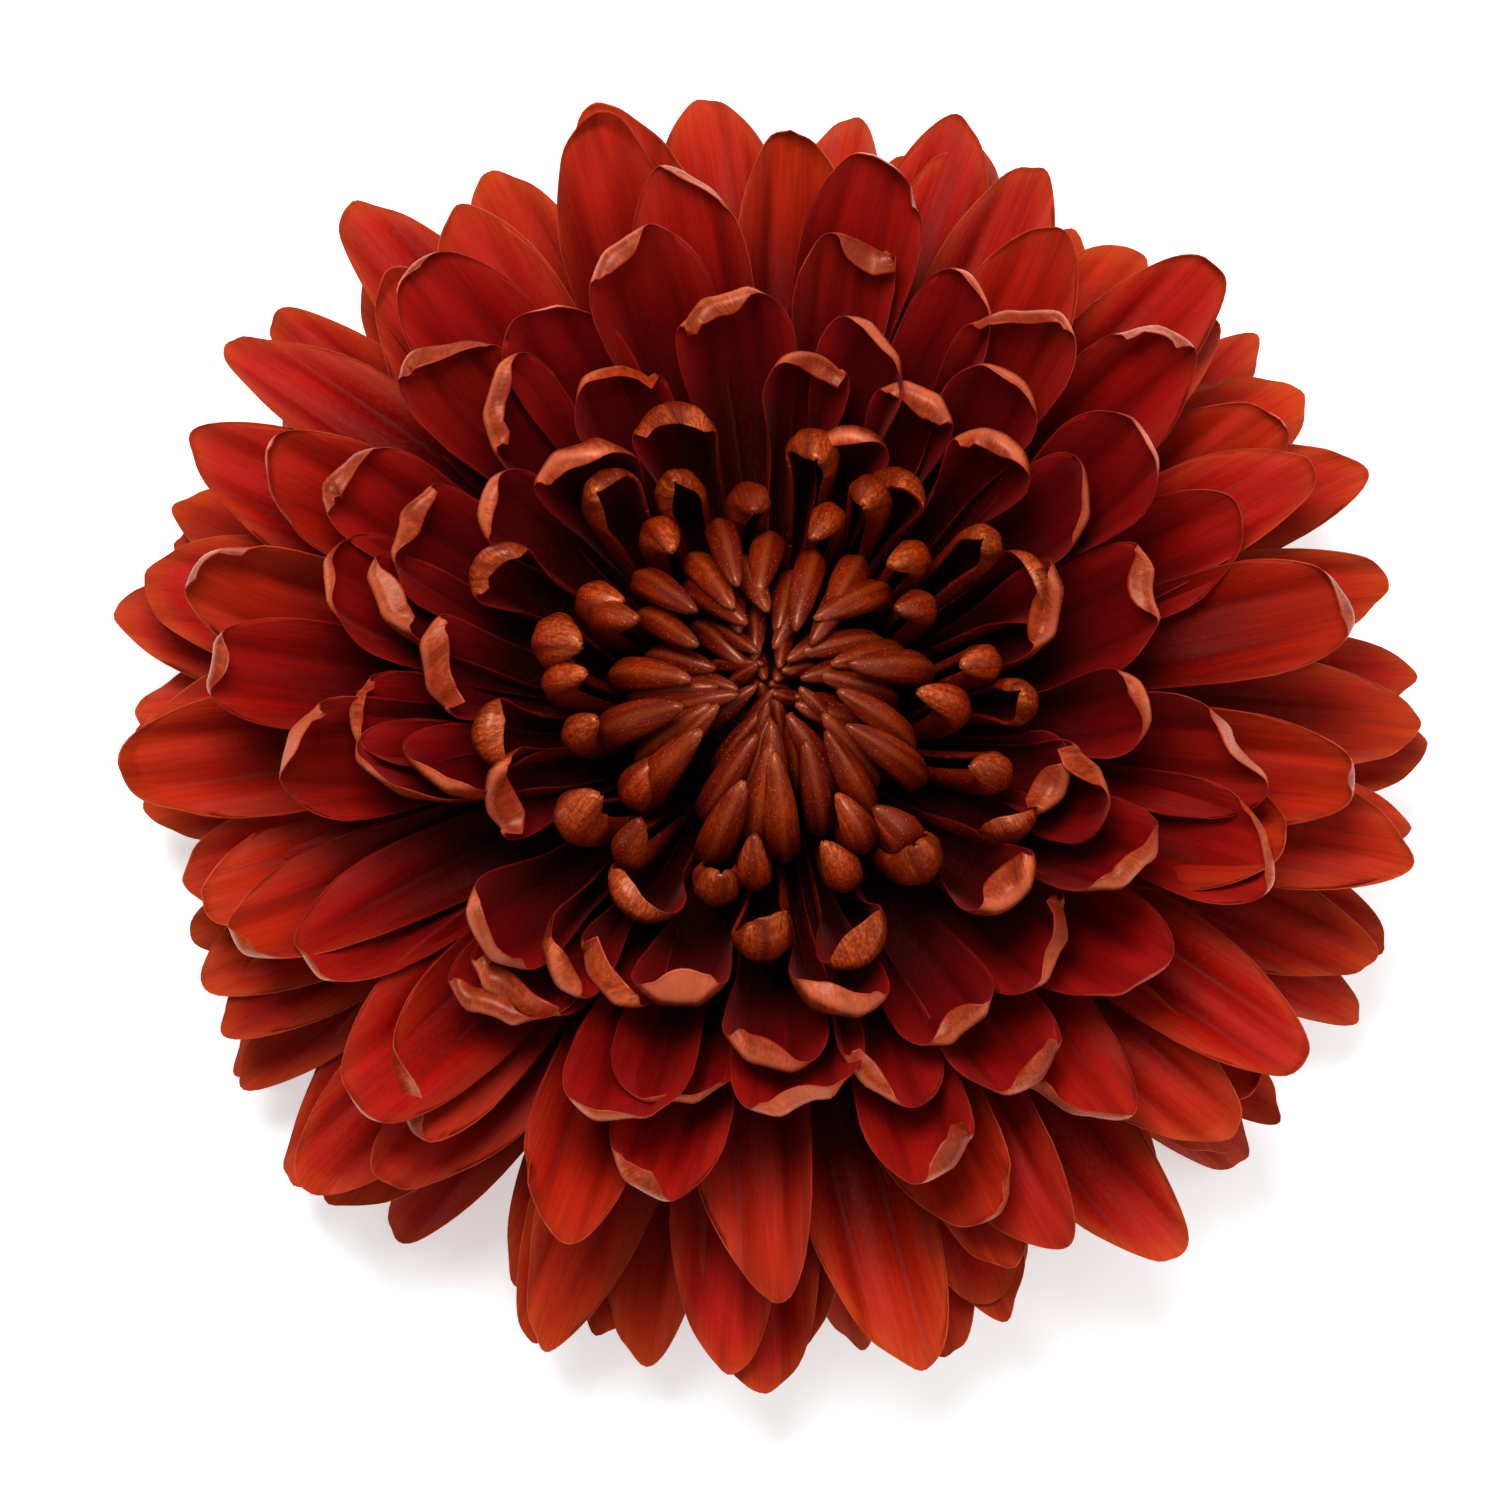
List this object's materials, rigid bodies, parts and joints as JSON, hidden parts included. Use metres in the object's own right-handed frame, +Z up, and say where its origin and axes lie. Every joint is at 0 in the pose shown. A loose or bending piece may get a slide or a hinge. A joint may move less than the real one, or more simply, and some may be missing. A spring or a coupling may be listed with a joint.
{
  "type": "disbud chrysanthemum",
  "caption": "Large double chrysanthemum bloom in deep red and bronze, cut close below the head, lying face up on its lowest florets.",
  "frame": {"origin": "on the surface that the bloom lies on, under the middle of its outline", "axes": "+Z up along the flower's axis, out of its face; X and Y level, with no front of its own"},
  "size_m": [0.1336, 0.1328, 0.0491],
  "materials": {
    "ray_floret": "matte",
    "central_floret": "satin",
    "bract_green": "matte",
    "stem_green": "satin"
  },
  "bodies": {
    "root": {"ray_florets": "ray_floret", "central_florets": "central_floret", "involucre": "bract_green", "stem": "stem_green"}
  },
  "joints": []
}
